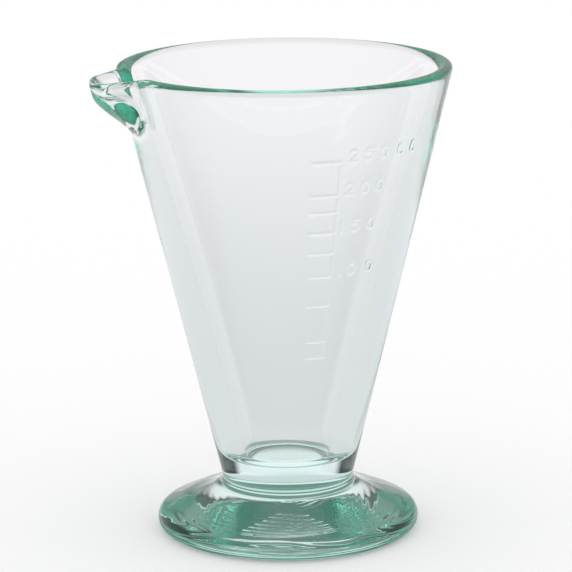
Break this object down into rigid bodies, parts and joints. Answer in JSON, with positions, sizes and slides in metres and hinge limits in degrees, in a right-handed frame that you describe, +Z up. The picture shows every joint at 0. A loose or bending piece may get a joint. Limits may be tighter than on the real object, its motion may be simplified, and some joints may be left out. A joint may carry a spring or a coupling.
{
  "type": "conical graduate",
  "caption": "Conical pressed-glass graduate with a pouring lip, raised volume lines and a domed round foot, for measuring and pouring liquids.",
  "frame": {"origin": "centre of the flat underside of the foot, on the axis of the cone", "axes": "+Z up along the axis of the cone; the pouring lip points towards -X; the scale of volume lines faces -Y"},
  "size_m": [0.112, 0.1032, 0.147],
  "materials": {
    "pressed_glass": "clear green-tinted soda-lime glass, pressed and fire-polished"
  },
  "bodies": {
    "root": {"foot": "pressed_glass", "stem": "pressed_glass", "bowl_lower_wall": "pressed_glass", "bowl_middle_wall": "pressed_glass", "bowl_upper_wall": "pressed_glass", "rim_band": "pressed_glass", "pouring_lip": "pressed_glass", "scale_upright": "pressed_glass", "graduation_line_250": "pressed_glass", "graduation_line_200": "pressed_glass", "graduation_line_175": "pressed_glass", "graduation_line_150": "pressed_glass", "graduation_line_125": "pressed_glass", "graduation_line_100": "pressed_glass", "graduation_line_75": "pressed_glass", "graduation_line_50": "pressed_glass", "graduation_line_40": "pressed_glass", "numeral_250_cc": "pressed_glass", "numeral_200": "pressed_glass", "numeral_150": "pressed_glass", "numeral_100": "pressed_glass"}
  },
  "joints": []
}
